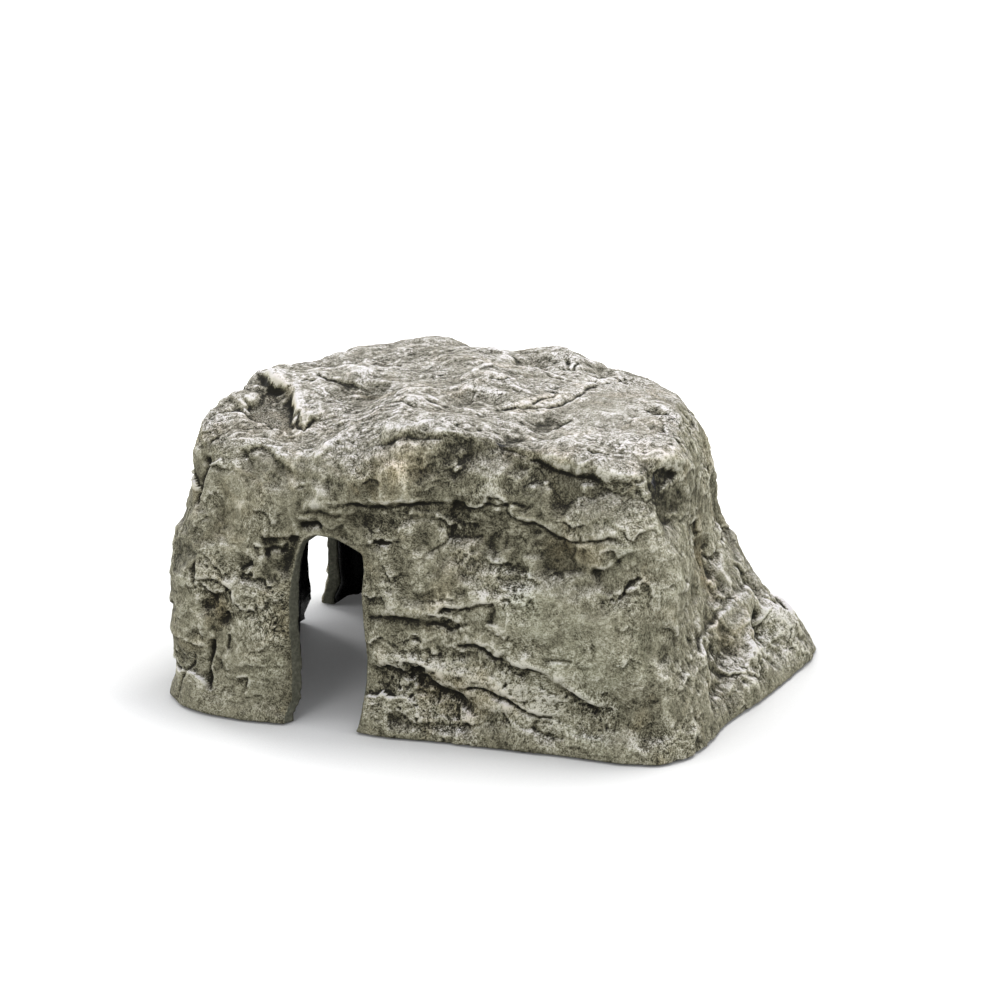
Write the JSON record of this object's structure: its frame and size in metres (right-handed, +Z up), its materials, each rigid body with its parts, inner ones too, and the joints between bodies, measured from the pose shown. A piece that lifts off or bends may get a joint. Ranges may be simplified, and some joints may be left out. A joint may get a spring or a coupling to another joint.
{
  "type": "resin cave ornament",
  "caption": "Hollow rock-look cave for an aquarium or pond: an open-bottomed resin shell with an arched doorway in front and a narrower one at the side.",
  "frame": {"origin": "on the floor, under the middle of the rock's bounding box", "axes": "+Z up, +X along the rock's length to the right as seen from the front, the front doorway faces -Y"},
  "size_m": [0.2889, 0.2055, 0.1528],
  "materials": {
    "stone_finish": "matte",
    "black_laminate": "gloss",
    "soft_pad": "matte"
  },
  "bodies": {
    "root": {"stone_skin": "stone_finish", "backing_laminate": "black_laminate", "pad_front_left": "soft_pad", "pad_front_centre": "soft_pad", "pad_front_right": "soft_pad", "pad_rear_right": "soft_pad", "pad_rear_centre": "soft_pad", "pad_rear_left": "soft_pad"}
  },
  "joints": []
}
